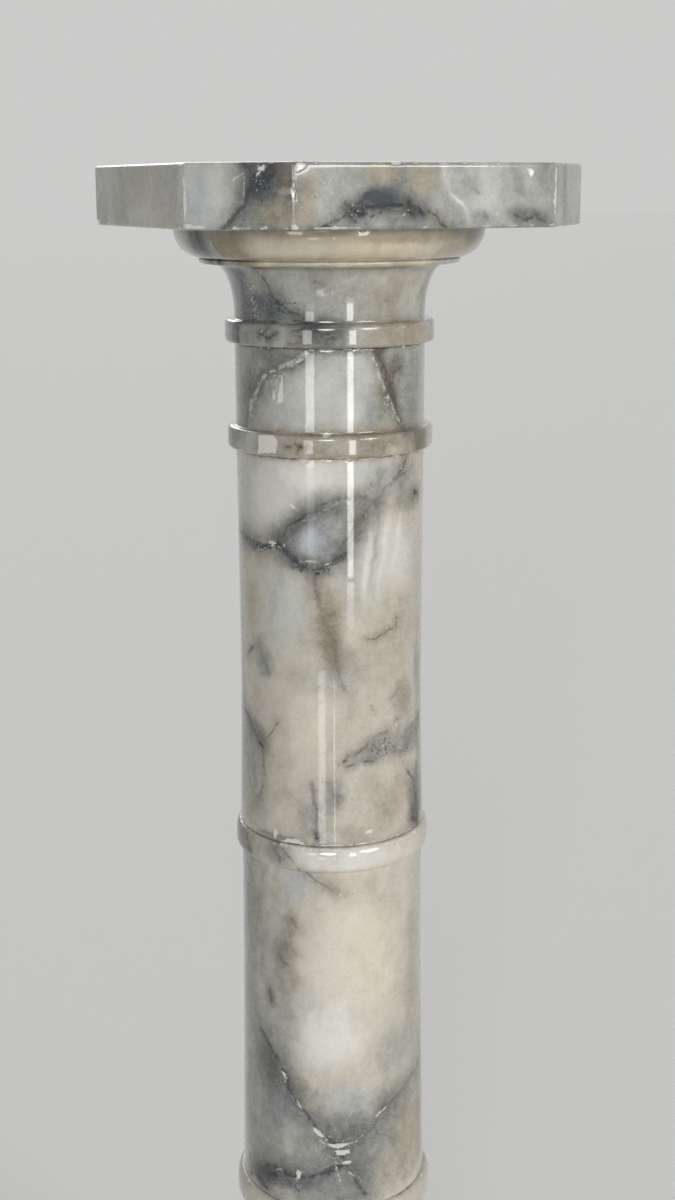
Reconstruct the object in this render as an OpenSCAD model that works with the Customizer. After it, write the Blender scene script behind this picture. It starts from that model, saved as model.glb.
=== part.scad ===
// Veined alabaster pedestal column of the plain Doric order, in stacked stone blocks.
// Millimetres, +Z up. The origin is at the middle of the plinth's underside.
// The flat sides of the abacus and the plinth face along X and Y.

/* [Block heights] */
// Height of the square foot slab
plinth_h = 37; // [15:1:90]
// Height of the turned base moulding
base_h = 58; // [46:1:110]
// Height of the lowest shaft block, with the band at its head
lower_drum_h = 258; // [80:1:500]
// Height of the middle shaft block, with the band at its head
middle_drum_h = 265; // [80:1:500]
// Height of the plain upper shaft block
upper_drum_h = 255.5; // [160:0.5:500]
// Height of the neck block, with the band at its foot
neck_drum_h = 67.5; // [30:0.5:160]
// Height of the capital: its band, throat, cavetto, fillet and echinus
capital_h = 72; // [52:1:130]
// Height of the square top slab
abacus_h = 37; // [15:1:90]

/* [Square slabs] */
// Width of the abacus across its flat sides
abacus_w = 260; // [215:1:400]
// Width of each canted corner of the abacus, along the cut
abacus_cant = 66; // [20:1:90]
// Width of the plinth across its flat sides
plinth_w = 280; // [230:1:420]
// Width of each canted corner of the plinth, along the cut
plinth_cant = 71; // [20:1:95]
// How far the abacus sits off the shaft's axis, along X
abacus_off_x = 2.6; // [-8:0.2:8]
// How far the abacus sits off the shaft's axis, along Y
abacus_off_y = -1.2; // [-8:0.2:8]
// Worn bevel on the slabs' arrises
arris = 1.4; // [0.4:0.2:5]

/* [Shaft radii] */
// Radius of the neck, from the capital down to the upper drum's head
neck_r = 61.1; // [40:0.1:80]
// Radius of the upper drum at its narrow waist
waist_r = 60.5; // [38:0.1:80]
// Radius of the upper drum at its foot
upper_foot_r = 62.3; // [40:0.1:82]
// Radius of the middle drum under its band
middle_head_r = 61.5; // [40:0.1:82]
// Radius of the middle drum at its foot
middle_foot_r = 64.5; // [40:0.1:84]
// Radius of the lower drum under its band
lower_head_r = 64; // [40:0.1:84]
// Radius of the lower drum at its foot
lower_foot_r = 66.5; // [40:0.1:86]
// Height of the flare at the upper drum's foot
flare_h = 100; // [20:1:150]

/* [Ring bands] */
// How far the capital's band stands out from the neck
collar_out = 6.2; // [2:0.2:12]
// Height of the capital's band
collar_h = 14.6; // [8:0.2:22]
// How far the neck block's band stands out
neck_band_out = 5.4; // [2:0.2:12]
// Height of the neck block's band
neck_band_h = 14.6; // [8:0.2:22]
// How far the middle drum's band stands out from the drum under it
middle_band_out = 3.9; // [2:0.1:12]
// Height of the middle drum's band
middle_band_h = 18; // [8:0.2:28]
// How far the lower drum's band stands out from the drum under it
lower_band_out = 4.8; // [2:0.1:12]
// Height of the lower drum's band
lower_band_h = 20; // [8:0.2:30]
// How far the base moulding's band stands out from the lower drum's foot
base_band_out = 5; // [2:0.2:12]
// Height of the base moulding's band
base_band_h = 16; // [8:0.2:20]

/* [Capital] */
// Largest radius of the echinus, under the abacus
echinus_r = 98.8; // [84:0.2:104]
// Radius where the echinus ends, just over its fillet
echinus_foot_r = 80.8; // [60:0.2:83]
// Height of the echinus
echinus_h = 19.6; // [10:0.2:24]
// Height of its plain upright upper edge
echinus_edge = 1; // [0:0.2:6]
// Radius of the fillet under the echinus
fillet_r = 83.4; // [76:0.2:90]
// Height of the fillet
fillet_h = 3.4; // [1.6:0.2:6]
// Radius of the cavetto's upper lip, under the fillet
cavetto_r = 74.4; // [66:0.2:76]
// Height of the plain upright throat between the band and the cavetto
throat_h = 2.4; // [0.4:0.2:10]

/* [Base moulding] */
// Largest radius of the torus on the plinth
torus_r = 106; // [96:0.5:112]
// Height of the torus
torus_h = 21; // [10:0.5:24]
// Radius where the torus begins, under its fillet
torus_head_r = 91; // [80:0.5:95]
// Radius of the fillet over the torus
base_fillet_r = 90; // [80:0.5:98]
// Height of the fillet over the torus
base_fillet_h = 4; // [2:0.2:5]
// Radius of the base cavetto's lower lip
base_cavetto_r = 82; // [74:0.5:84]

/* [Hidden] */

$fn = 96;
curve_steps = 10;      // straight stretches in one drawn curve
shaft_steps = 6;       // stretches in the long curve of a shaft
soft_corner = 2.6;     // rounding of the two crisp bands
band_shoulder = 0.42;  // share of a soft band's height that its upper shoulder takes
band_heel = 0.3;       // share of a soft band's height that its lower shoulder takes
hollowing = 1.4;       // above 1, a drum's taper is hollow and opens towards its foot
flare_curve = 1.15;    // the same, for the upper drum's flare
slab_sides = 8;

// Underside of each block
base_z = plinth_h;
lower_z = base_z + base_h;
middle_z = lower_z + lower_drum_h;
upper_z = middle_z + middle_drum_h;
neck_z = upper_z + upper_drum_h;
capital_z = neck_z + neck_drum_h;
abacus_z = capital_z + capital_h;

// Points of a quarter or other stretch of an ellipse about [x, y]
function ellipse_arc(x, y, rx, ry, from, to, steps = curve_steps) =
    [for (i = [0:steps])
        let (a = from + (to - from) * i / steps)
        [x + rx * cos(a), y + ry * sin(a)]];

// Outline of a ring band of radius r, from its lower to its upper edge. Its rounded edges
// run in no further than the shafts that meet it there, of radius below and above.
function band(z, h, r, below, above, heel, shoulder) =
    let (heel_w = min(r - below, heel), shoulder_w = min(r - above, shoulder))
    concat(
        ellipse_arc(r - heel_w, z + heel, heel_w, heel, -90, 0),
        ellipse_arc(r - shoulder_w, z + h - shoulder, shoulder_w, shoulder, 0, 90));

// Outline of a drum's shaft, from its foot up to h: a taper that hollows slightly
function hollow_taper(foot_r, head_r, h) =
    [for (i = [0:shaft_steps])
        let (up = i / shaft_steps)
        [head_r + (foot_r - head_r) * pow(1 - up, hollowing), h * up]];

// The upper drum's radius at height z over its foot: a flare, and above it a slow swelling to the neck
function upper_radius(z) =
    z < flare_h
        ? waist_r + (upper_foot_r - waist_r) * pow(1 - z / flare_h, flare_curve)
        : waist_r + (neck_r - waist_r) * pow((z - flare_h) / (upper_drum_h - flare_h), 2);

// A solid turned from the outline that runs up from the underside to the top
module turned(outline) {
    first = outline[0];
    last = outline[len(outline) - 1];
    rotate_extrude()
        polygon(concat([[0, first[1]]], outline, [[0, last[1]]]));
}

// A square slab with canted corners and bevelled arrises, from z = 0 up
module canted_slab(w, cant, h) {
    leg = cant / sqrt(2);
    half = w / 2;
    corner_distance = (w - leg) / sqrt(2);
    bevel = arris * sqrt(2);
    difference() {
        linear_extrude(h)
            polygon([[half, half - leg], [half - leg, half], [leg - half, half], [-half, half - leg],
                     [-half, leg - half], [leg - half, -half], [half - leg, -half], [half, leg - half]]);
        for (side = [0:slab_sides - 1])
            for (edge_z = [0, h])
                rotate([0, 0, 45 * side])
                    translate([side % 2 == 0 ? half : corner_distance, 0, edge_z])
                        rotate([0, 45, 0])
                            cube([bevel, w, bevel], center = true);
    }
}

module plinth() {
    color([0.72, 0.71, 0.67])
        canted_slab(plinth_w, plinth_cant, plinth_h);
}

module base_moulding() {
    band_z = base_h - base_band_h;
    fillet_top = torus_h + base_fillet_h;
    outline = concat(
        ellipse_arc(torus_head_r, torus_h / 2, torus_r - torus_head_r, torus_h / 2, -90, 90),
        [[base_fillet_r, torus_h], [base_fillet_r, fillet_top]],
        ellipse_arc(base_cavetto_r, band_z, base_cavetto_r - lower_foot_r, band_z - fillet_top, 270, 180),
        band(band_z, base_band_h, lower_foot_r + base_band_out, lower_foot_r, lower_foot_r,
             soft_corner, soft_corner));
    color([0.74, 0.72, 0.66])
        translate([0, 0, base_z])
            turned(outline);
}

module lower_drum() {
    band_z = lower_drum_h - lower_band_h;
    outline = concat(
        hollow_taper(lower_foot_r, lower_head_r, band_z),
        band(band_z, lower_band_h, lower_head_r + lower_band_out, lower_head_r, middle_foot_r,
             lower_band_h * band_heel, lower_band_h * band_shoulder));
    color([0.80, 0.77, 0.70])
        translate([0, 0, lower_z])
            turned(outline);
}

module middle_drum() {
    band_z = middle_drum_h - middle_band_h;
    outline = concat(
        hollow_taper(middle_foot_r, middle_head_r, band_z),
        band(band_z, middle_band_h, middle_head_r + middle_band_out, middle_head_r, upper_foot_r,
             middle_band_h * band_heel, middle_band_h * band_shoulder));
    color([0.79, 0.77, 0.71])
        translate([0, 0, middle_z])
            turned(outline);
}

module upper_drum() {
    flare = [for (i = [0:shaft_steps]) flare_h * i / shaft_steps];
    taper = [for (i = [1:shaft_steps]) flare_h + (upper_drum_h - flare_h) * i / shaft_steps];
    outline = [for (z = concat(flare, taper)) [upper_radius(z), z]];
    color([0.70, 0.70, 0.66])
        translate([0, 0, upper_z])
            turned(outline);
}

module neck_drum() {
    outline = concat(
        band(0, neck_band_h, neck_r + neck_band_out, neck_r, neck_r, soft_corner, soft_corner),
        [[neck_r, neck_band_h], [neck_r, neck_drum_h]]);
    color([0.68, 0.69, 0.66])
        translate([0, 0, neck_z])
            turned(outline);
}

module capital() {
    echinus_z = capital_h - echinus_h;
    fillet_z = echinus_z - fillet_h;
    cavetto_foot = collar_h + throat_h;
    cavetto_h = fillet_z - cavetto_foot;
    curve_h = echinus_h - echinus_edge;
    outline = concat(
        band(0, collar_h, neck_r + collar_out, neck_r, neck_r, soft_corner, soft_corner),
        [[neck_r, collar_h]],
        ellipse_arc(cavetto_r, cavetto_foot, cavetto_r - neck_r, cavetto_h, 180, 90),
        [[fillet_r - fillet_h / 2, fillet_z], [fillet_r, fillet_z + fillet_h / 2], [fillet_r, echinus_z]],
        ellipse_arc(echinus_foot_r, echinus_z + curve_h, echinus_r - echinus_foot_r, curve_h, -90, 0),
        [[echinus_r, capital_h]]);
    color([0.72, 0.68, 0.60])
        translate([0, 0, capital_z])
            turned(outline);
}

module abacus() {
    color([0.66, 0.66, 0.63])
        translate([abacus_off_x, abacus_off_y, abacus_z])
            canted_slab(abacus_w, abacus_cant, abacus_h);
}

plinth();
base_moulding();
lower_drum();
middle_drum();
upper_drum();
neck_drum();
capital();
abacus();
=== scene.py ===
"""Looks of a veined alabaster pedestal column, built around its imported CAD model.

Every stone is remade as a fine mesh from its CAD node's own outline, with eased arrises, chips and
veins of its own. A place on a turned stone is (bearing, height): degrees to the viewer's right of the
line that faces the camera, and millimetres above the stone's foot. A place on a slab is (along,
height): millimetres round its sides, from the middle of the side that shows most, and up from its
underside. Heights past a slab's arris run on over its top.
"""
import math

import bpy
import numpy as np
from mathutils import Matrix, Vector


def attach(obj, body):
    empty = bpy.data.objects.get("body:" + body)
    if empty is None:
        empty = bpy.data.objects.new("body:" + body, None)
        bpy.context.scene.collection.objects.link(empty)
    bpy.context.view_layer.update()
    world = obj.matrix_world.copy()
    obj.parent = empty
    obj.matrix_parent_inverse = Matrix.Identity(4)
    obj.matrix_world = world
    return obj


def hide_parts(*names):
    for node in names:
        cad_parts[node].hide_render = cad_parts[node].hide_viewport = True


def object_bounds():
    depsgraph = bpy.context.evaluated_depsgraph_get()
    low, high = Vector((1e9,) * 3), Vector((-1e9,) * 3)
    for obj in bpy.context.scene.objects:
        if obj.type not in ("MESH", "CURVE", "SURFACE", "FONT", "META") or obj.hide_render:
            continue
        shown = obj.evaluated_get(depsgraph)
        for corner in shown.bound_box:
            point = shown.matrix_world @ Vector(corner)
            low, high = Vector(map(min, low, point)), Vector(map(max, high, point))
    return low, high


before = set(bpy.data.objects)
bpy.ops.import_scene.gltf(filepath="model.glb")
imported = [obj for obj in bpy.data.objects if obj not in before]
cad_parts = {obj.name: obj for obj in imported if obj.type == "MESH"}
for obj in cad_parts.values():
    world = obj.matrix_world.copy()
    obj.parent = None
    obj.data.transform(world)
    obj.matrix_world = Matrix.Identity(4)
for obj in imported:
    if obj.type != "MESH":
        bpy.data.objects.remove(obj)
cad_box = [list(corner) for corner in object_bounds()]

MM = 0.001
COLUMN_TOP = cad_box[1][2]

# ---------------------------------------------------------------- camera
CAMERA_AZIMUTH = -24.4      # degrees round the column, 0 looks along +Y
CAMERA_DISTANCE = 1.1011    # metres from the column's axis, over the floor
CAMERA_BELOW_TOP = 0.0139   # metres under the abacus's upper face
CAMERA_PITCH = 13.64        # degrees down
CAMERA_YAW = 0.23           # degrees to the right of the axis
CAMERA_ROLL = -0.20
CAMERA_LENS = 51.0          # mm
CAMERA_SENSOR = 36.0        # mm, the long side
FRONT = CAMERA_AZIMUTH - 90.0   # direction, about Z from +X, that bearing 0 faces


def link(obj):
    bpy.context.scene.collection.objects.link(obj)
    return obj


def direction(bearing):
    """Unit vector over the floor that a bearing faces."""
    angle = math.radians(FRONT + bearing)
    return np.array([math.cos(angle), math.sin(angle), 0.0])


def add_camera():
    data = bpy.data.cameras.new("camera")
    data.sensor_width = CAMERA_SENSOR
    data.lens = CAMERA_LENS
    data.clip_start, data.clip_end = 0.01, 200.0
    camera = link(bpy.data.objects.new("camera", data))
    place = direction(0.0) * CAMERA_DISTANCE
    place[2] = COLUMN_TOP - CAMERA_BELOW_TOP
    turn = Matrix.Rotation(math.radians(CAMERA_AZIMUTH - CAMERA_YAW), 4, "Z")
    turn = turn @ Matrix.Rotation(math.radians(90.0 - CAMERA_PITCH), 4, "X")
    turn = turn @ Matrix.Rotation(math.radians(CAMERA_ROLL), 4, "Z")
    camera.matrix_world = Matrix.Translation(place) @ turn
    bpy.context.scene.camera = camera


# ---------------------------------------------------------------- light and floor
ROOM_LIGHT = 0.28     # the world's even light on the column
ROOM_SHOWN = 0.60     # how bright the room looks, the same as the floor far away
FLOOR_COLOUR = (0.72, 0.72, 0.71, 1.0)    # as it lights the column from below
FLOOR_SHOWN = (0.98, 0.98, 0.97, 1.0)     # as it is seen and mirrored
FLOOR_REACH = 60.0    # metres from the column to the floor's edges
SUNS = (
    # name, bearing, elevation in degrees, width in degrees, strength as a share of full light
    ("key", 44.0, 11.0, 22.0, 0.43),
    ("front", -4.0, 8.0, 18.0, 0.39),
    ("back", 190.0, 30.0, 40.0, 0.30),
)
STRIPS = (
    # name, bearing, distance in metres, lowest, highest, width in metres, brightness
    ("strip_right", 24.0, 2.0, 0.34, 0.92, 0.26, 11.0),
    ("strip_right_foot", 24.0, 2.0, 0.24, 0.34, 0.30, 2.6),
    ("strip_left", -23.5, 2.0, 0.54, 0.92, 0.36, 6.5),
    ("strip_left_foot", -23.5, 2.0, 0.36, 0.54, 0.30, 1.6),
    ("card_low", -11.5, 1.3, 0.12, 0.38, 0.19, 3.6),
    ("strip_low", 3.6, 1.3, 0.17, 0.36, 0.03, 6.0),
)


def turned_to(bearing, tilt):
    """The turn of a lamp that shines from a bearing, tilted up from straight down, in degrees."""
    turn = Matrix.Rotation(math.radians(FRONT + bearing + 90.0), 4, "Z")
    return turn @ Matrix.Rotation(math.radians(tilt), 4, "X")


def add_lights():
    for name, bearing, elevation, width, share in SUNS:
        data = bpy.data.lights.new(name, "SUN")
        data.energy = share * math.pi
        data.angle = math.radians(width)
        lamp = link(bpy.data.objects.new(name, data))
        lamp.matrix_world = turned_to(bearing, 90.0 - elevation)
    for name, bearing, distance, low, high, width, brightness in STRIPS:
        data = bpy.data.lights.new(name, "AREA")
        data.shape = "RECTANGLE"
        data.size, data.size_y = width, high - low
        # An area lamp's radiance is its power over pi times its area.
        data.energy = brightness * math.pi * data.size * data.size_y
        lamp = link(bpy.data.objects.new(name, data))
        place = direction(bearing) * distance
        place[2] = (low + high) / 2
        lamp.matrix_world = Matrix.Translation(place) @ turned_to(bearing, 90.0)
        lamp.visible_camera = False
        lamp.visible_diffuse = False    # they only make the streaks that the polish mirrors


def add_world():
    world = bpy.data.worlds.new("room")
    bpy.context.scene.world = world
    world.use_nodes = True
    nodes = Nodes(world.node_tree)
    nodes.tree.nodes.clear()
    strength = nodes.remap(nodes.seen(), 0.0, 1.0, ROOM_LIGHT, ROOM_SHOWN)
    background = nodes.add("ShaderNodeBackground")
    nodes.join(strength, background.inputs["Strength"])
    background.inputs["Color"].default_value = (1.0, 1.0, 0.99, 1.0)
    output = nodes.add("ShaderNodeOutputWorld")
    nodes.join(background.outputs[0], output.inputs["Surface"])


def add_floor():
    corners = [(x * FLOOR_REACH, y * FLOOR_REACH, 0) for x, y in ((-1, -1), (1, -1), (1, 1), (-1, 1))]
    mesh = bpy.data.meshes.new("floor")
    mesh.from_pydata(corners, [], [(0, 1, 2, 3)])
    floor = link(bpy.data.objects.new("floor", mesh))
    material = bpy.data.materials.new("floor_paint")
    material.use_nodes = True
    nodes = Nodes(material.node_tree)
    shader = material.node_tree.nodes["Principled BSDF"]
    nodes.join(nodes.mix(nodes.seen(), FLOOR_COLOUR, FLOOR_SHOWN), shader.inputs["Base Color"])
    shader.inputs["Roughness"].default_value = 0.9
    shader.inputs["Specular IOR Level"].default_value = 0.1
    mesh.materials.append(material)


class Nodes:
    """Short ways to add and join the nodes of one tree."""

    def __init__(self, tree):
        self.tree = tree

    def add(self, kind, **settings):
        node = self.tree.nodes.new(kind)
        for name, value in settings.items():
            setattr(node, name, value)
        return node

    def join(self, source, target):
        """Links an output to an input, or sets the input when source is a plain value."""
        if isinstance(source, bpy.types.NodeSocket):
            self.tree.links.new(source, target)
        else:
            target.default_value = source

    def math(self, operation, a, b=0.0):
        node = self.add("ShaderNodeMath", operation=operation)
        self.join(a, node.inputs[0])
        self.join(b, node.inputs[1])
        return node.outputs[0]

    def plus(self, a, b):
        return self.math("ADD", a, b)

    def minus(self, a, b):
        return self.math("SUBTRACT", a, b)

    def times(self, a, b):
        return self.math("MULTIPLY", a, b)

    def remap(self, value, low, high, to_low=0.0, to_high=1.0, smooth=False):
        node = self.add("ShaderNodeMapRange", clamp=True)
        node.interpolation_type = "SMOOTHSTEP" if smooth else "LINEAR"
        for source, name in zip((value, low, high, to_low, to_high),
                                ("Value", "From Min", "From Max", "To Min", "To Max")):
            self.join(source, node.inputs[name])
        return node.outputs["Result"]

    def mix(self, share, a, b, blend="MIX"):
        node = self.add("ShaderNodeMix", data_type="RGBA", blend_type=blend)
        self.join(share, node.inputs["Factor"])
        self.join(a, node.inputs["A"])
        self.join(b, node.inputs["B"])
        return node.outputs["Result"]

    def brightness(self, colour):
        node = self.add("ShaderNodeRGBToBW")
        self.join(colour, node.inputs["Color"])
        return node.outputs["Val"]

    def noise(self, place, per_metre, detail, roughness, distortion=0.0):
        node = self.add("ShaderNodeTexNoise")
        settings = (place, per_metre, detail, roughness, distortion)
        for source, name in zip(settings, ("Vector", "Scale", "Detail", "Roughness", "Distortion")):
            self.join(source, node.inputs[name])
        return node.outputs["Fac"]

    def attribute(self, name):
        return self.add("ShaderNodeAttribute", attribute_name=name)

    def seen(self):
        """1 where a surface is seen, mirrored or seen through something, 0 where it only gives light."""
        path = self.add("ShaderNodeLightPath")
        share = self.math("MAXIMUM", path.outputs["Is Camera Ray"], path.outputs["Is Glossy Ray"])
        return self.math("MAXIMUM", share, path.outputs["Is Transmission Ray"])


# ---------------------------------------------------------------- tones of the stone
def linear(red, green, blue):
    """A colour written as 0 to 255 on screen, as the render's own numbers."""
    shown = np.array([red, green, blue]) / 255.0
    return np.where(shown <= 0.04045, shown / 12.92, ((shown + 0.055) / 1.055) ** 2.4)


WHITE = linear(214, 212, 204)
CREAM = linear(190, 184, 170)
IVORY = linear(204, 197, 183)
HONEY = linear(214, 201, 173)
WARM = linear(182, 165, 137)
SAND = linear(158, 148, 128)
TAN = linear(146, 132, 108)
PINK = linear(176, 166, 149)
PALE = linear(186, 188, 181)
STONE = linear(162, 162, 154)
ICE = linear(172, 177, 181)
GREY = linear(138, 140, 135)
SLATE = linear(104, 104, 100)
LILAC = linear(146, 146, 150)
BLUE = linear(86, 92, 97)
NAVY = linear(42, 46, 56)
OLIVE = linear(100, 94, 78)
UMBER = linear(78, 68, 54)
RUST = linear(136, 102, 72)
MOSS = linear(136, 134, 116)
BLACK = linear(20, 20, 22)
CHALK = linear(222, 221, 212)

# What is painted on each stone. Sizes are in mm and turns in degrees.
# Clouds:  (tone, strength, place, across, up, turn if any), laid one over the other.
# Veins:   (tone, strength, width, halo, route), ragged and broken. A route of one place is a spot. The level ones in creases and seams under bands are painted shade with some dirt.
# Lines:   (tone, strength, width, route), thin and crisp, drawn over the veins. The one along the middle drum's band top is a painted highlight.
# Chips:   (place, across, up, depth), with a chalky fresh face.
# Flakes:  corners of a straight-edged shallow break, anticlockwise.
# Sprays:  (dark or light, strength, place, across, up), patches of loose specks.
# Worn:    heights of the arrises that are nicked all the way round.
MARKS = {}

MARKS["abacus"] = {
    "base": GREY,
    "clouds": [
        # The side on the left of the view
        (MOSS, 0.9, (-232, 18), 200, 80), (SAND, 0.6, (-200, 14), 90, 60),
        (SLATE, 0.35, (-262, 24), 14, 44, 6), (SLATE, 0.25, (-178, 26), 26, 22),
        (LILAC, 0.6, (-292, 24), 36, 22), (LILAC, 0.5, (-178, 22), 34, 24),
        (PALE, 0.4, (-214, 6), 70, 14),
        # The cant beside it
        (PALE, 1.0, (-136, 18), 42, 70), (ICE, 0.7, (-142, 18), 22, 40), (OLIVE, 0.75, (-92, 24), 34, 50),
        (SAND, 0.6, (-93, 8), 26, 16), (MOSS, 0.6, (-103, 12), 14, 18),
        (CREAM, 0.45, (-90, 21), 12, 4, 5), (BLUE, 0.85, (-105, 25), 20, 26, 40),
        (SLATE, 0.9, (-110, 36), 22, 12),
        # The side that shows most
        (STONE, 0.9, (-58, 20), 40, 60), (SAND, 0.85, (-76, 14), 16, 40), (SAND, 0.9, (-31, 29), 24, 20),
        (SLATE, 0.45, (-17, 29), 6, 20), (SAND, 0.75, (-4, 27), 24, 24), (PINK, 0.3, (-2, 24), 18, 12),
        (STONE, 0.9, (8, 10), 26, 26, 30), (PALE, 0.9, (44, 22), 50, 50),
        (GREY, 0.75, (21, 27), 24, 10, -14), (STONE, 0.9, (66, 18), 46, 60),
        (LILAC, 0.7, (33, 4), 16, 11), (BLUE, 0.3, (35, 5), 12, 8), (BLUE, 0.55, (64, 7), 26, 12),
        (SLATE, 0.35, (58, 24), 9, 26, 10), (SLATE, 0.35, (74, 30), 9, 14, -20),
        (GREY, 0.95, (-24, 5), 64, 18), (SLATE, 0.6, (-26, 13), 50, 20), (BLUE, 0.9, (-29, 16), 32, 12),
        (NAVY, 0.75, (-31, 17), 20, 8), (SLATE, 0.7, (-47, 10), 16, 12), (SAND, 0.4, (-22, 8), 9, 4),
        # The cant on the right, and what is hidden behind
        (GREY, 0.8, (116, 18), 66, 60), (STONE, 0.6, (130, 20), 26, 40),
    ],
    "veins": [
        (NAVY, 0.7, 3.6, 6, [(-94, 36), (-103, 28), (-110, 21), (-112, 14), (-118, 8), (-126, 0)]),
        (BLACK, 0.7, 2.4, 4, [(-95, 31), (-100, 26), (-106, 24)]),
        (NAVY, 0.7, 2.4, 5, [(-112, 37), (-107, 30), (-109, 22)]),
        (NAVY, 0.8, 2.2, 4, [(-72, 0), (-58, 5), (-52, 9), (-44, 14), (-38, 19), (-33, 22), (-29, 18)]),
        (BLACK, 1.0, 3, 3, [(-41, 12), (-34, 12), (-26, 12.8), (-17, 12.8)]),
        (BLACK, 1.0, 2.4, 2, [(-53, 14), (-47, 11), (-41, 9)]), (BLACK, 0.9, 2, 2, [(-50, 8), (-46, 4)]),
        (BLACK, 1.0, 4.2, 2.5, [(-14, 14.5), (-12.4, 10), (-10, 8.4)]),
        (BLACK, 1.0, 3, 2, [(-11, 12), (-5, 9)]), (UMBER, 0.9, 1.6, 3.5, [(-2, 11), (4, 7), (11, 0.5)]),
        (SLATE, 0.5, 1.2, 3, [(28, 23), (31, 20)]),
        (NAVY, 0.7, 2.4, 4, [(56, 8), (62, 4), (70, 6), (76, 3)]),
        (SLATE, 0.5, 1.6, 4, [(32, 9), (38, 6)]),
        (WHITE, 0.85, 1.5, 1.6, [(8.5, 37), (9.3, 28), (12.5, 20), (20, 14.5), (25, 10), (26.4, -1)]),
        (NAVY, 0.8, 3, 5, [(102, 37), (105, 20), (106, 0)]),
    ],
    "lines": [
        (CHALK, 0.8, 0.8, [(-119, 27), (-113, 31)]), (PALE, 0.7, 0.7, [(-112.5, 29), (-112.5, 19)]),
        (CHALK, 0.8, 0.7, [(-105, 30), (-100, 34)]), (CHALK, 0.9, 1, [(-104, 35), (-102, 33)]),
        (CHALK, 0.9, 1.8, [(-16, 8)]), (CHALK, 0.8, 1.4, [(-13.4, 10.4)]), (CHALK, 0.9, 1.6, [(44, 8.6)]),
        (CHALK, 0.7, 1, [(-70, 22)]), (CHALK, 0.7, 1, [(-65, 21)]), (CHALK, 0.7, 1, [(-63, 15)]),
        (CHALK, 0.8, 2.2, [(111, 14)]), (STONE, 0.8, 1.4, [(99, 36), (99, 2)]),
        (CHALK, 0.6, 0.8, [(-83, 30), (-83, 3)]), (CHALK, 0.8, 0.9, [(83, 34), (83, 14), (83, 3)]),
        (CHALK, 0.8, 1, [(-149, 33), (-149, 3)]),
    ],
    "chips": [
        ((-80, 34), 7, 6, 0.9), ((-83, 1), 4, 4, 0.8), ((-84, 20), 2.6, 6, 0.6), ((83, 1), 8, 5, 1.6),
        ((84, 30), 3, 14, 0.8), ((-149, 14), 3, 16, 0.6), ((-149, 1), 9, 4, 1.1), ((-101, 1), 5, 3, 0.8),
        ((-118, 1), 6, 3, 0.7), ((-146, 2), 4, 3, 0.7), ((-315, 1), 14, 5, 1.2), ((83, 15), 2.4, 16, 0.6),
        ((-60, 1), 22, 2, 0.6), ((-20, 37), 7, 3, 0.5), ((-140, 1), 8, 2.6, 0.7),
    ],
    "flakes": [[(62.5, 33.8), (65.6, 29.2), (67, 33.6)], [(-104, 33), (-101, 32), (-99, 36)]],
    "sprays": [
        ("dark", 1.0, (-32, 12), 50, 16), ("light", 0.75, (-47, 11), 18, 12),
        ("light", 0.3, (-24, 11), 30, 6), ("dark", 1.0, (-105, 23), 18, 26),
        ("dark", 0.6, (-116, 8), 16, 12), ("light", 0.6, (-106, 26), 18, 22),
        ("light", 0.6, (-64, 20), 20, 16), ("dark", 0.7, (66, 8), 34, 16),
        ("light", 0.6, (-90, 20), 16, 8), ("light", 0.5, (-22, 6), 30, 8),
    ],
    "worn": [0.4, 37],
}
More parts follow.
